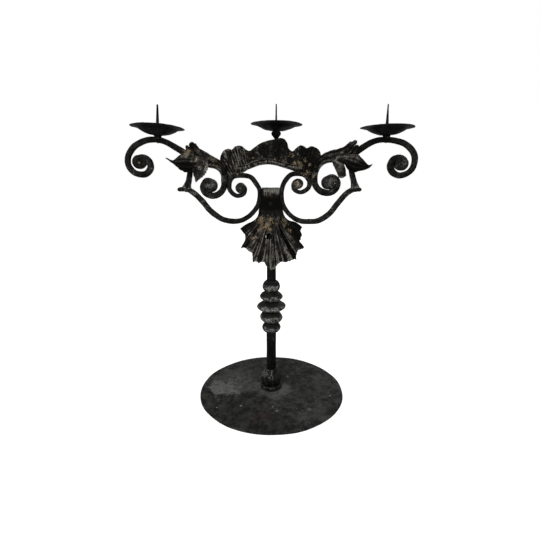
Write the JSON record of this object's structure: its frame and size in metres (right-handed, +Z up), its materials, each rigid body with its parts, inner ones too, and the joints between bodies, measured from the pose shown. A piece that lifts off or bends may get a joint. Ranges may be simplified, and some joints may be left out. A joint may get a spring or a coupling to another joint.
{
  "type": "pricket candelabrum",
  "caption": "Forged iron candelabrum: disc foot, beaded stem, shell leaf, scrolled leafy arms and a palmette crest carrying drip pans with candle spikes.",
  "frame": {"origin": "on the floor under the stem's axis, at the bottom centre of the whole piece", "axes": "+Z up the stem, -Y to the front where the shell and the crest show their worked faces, +X to the viewer's right along the arms"},
  "size_m": [0.5188, 0.29, 0.547],
  "materials": {
    "blackened_iron": "blackened forged iron, satin, worn to grey on the edges",
    "dusty_iron": "blackened iron under a film of dust, nearly matt",
    "worn_iron": "blackened iron worn to grey metal, satin",
    "gilt_iron": "chased iron sheet with the worn rest of a brown-gold paint in its hollows"
  },
  "bodies": {
    "root": {"base_disc": "dusty_iron", "knop_1": "worn_iron", "knop_2": "worn_iron", "knop_3": "worn_iron", "knop_4": "worn_iron", "knop_5": "worn_iron", "shell_leaf": "gilt_iron", "crest_plate": "gilt_iron", "crest_strip": "gilt_iron", "acanthus_left": "gilt_iron", "acanthus_right": "gilt_iron", "husk_left": "gilt_iron", "husk_right": "gilt_iron", "base_washer": "blackened_iron", "foot_ring": "blackened_iron", "foot_collar": "blackened_iron", "stem": "blackened_iron", "neck_pin": "blackened_iron", "shell_rivet": "blackened_iron", "strip_rivet_1": "blackened_iron", "strip_rivet_2": "blackened_iron", "centre_knob": "blackened_iron", "knob_rivet": "blackened_iron", "drip_pan_centre": "blackened_iron", "pricket_centre": "blackened_iron", "lower_scroll_left": "blackened_iron", "strut_left": "blackened_iron", "arm_left": "blackened_iron", "coil_pin_left": "blackened_iron", "crest_rivet_left": "blackened_iron", "leaf_rivet_left": "blackened_iron", "pan_collar_left": "blackened_iron", "drip_pan_left": "blackened_iron", "pricket_left": "blackened_iron", "lower_scroll_right": "blackened_iron", "strut_right": "blackened_iron", "arm_right": "blackened_iron", "coil_pin_right": "blackened_iron", "crest_rivet_right": "blackened_iron", "leaf_rivet_right": "blackened_iron", "pan_collar_right": "blackened_iron", "drip_pan_right": "blackened_iron", "pricket_right": "blackened_iron"}
  },
  "joints": []
}
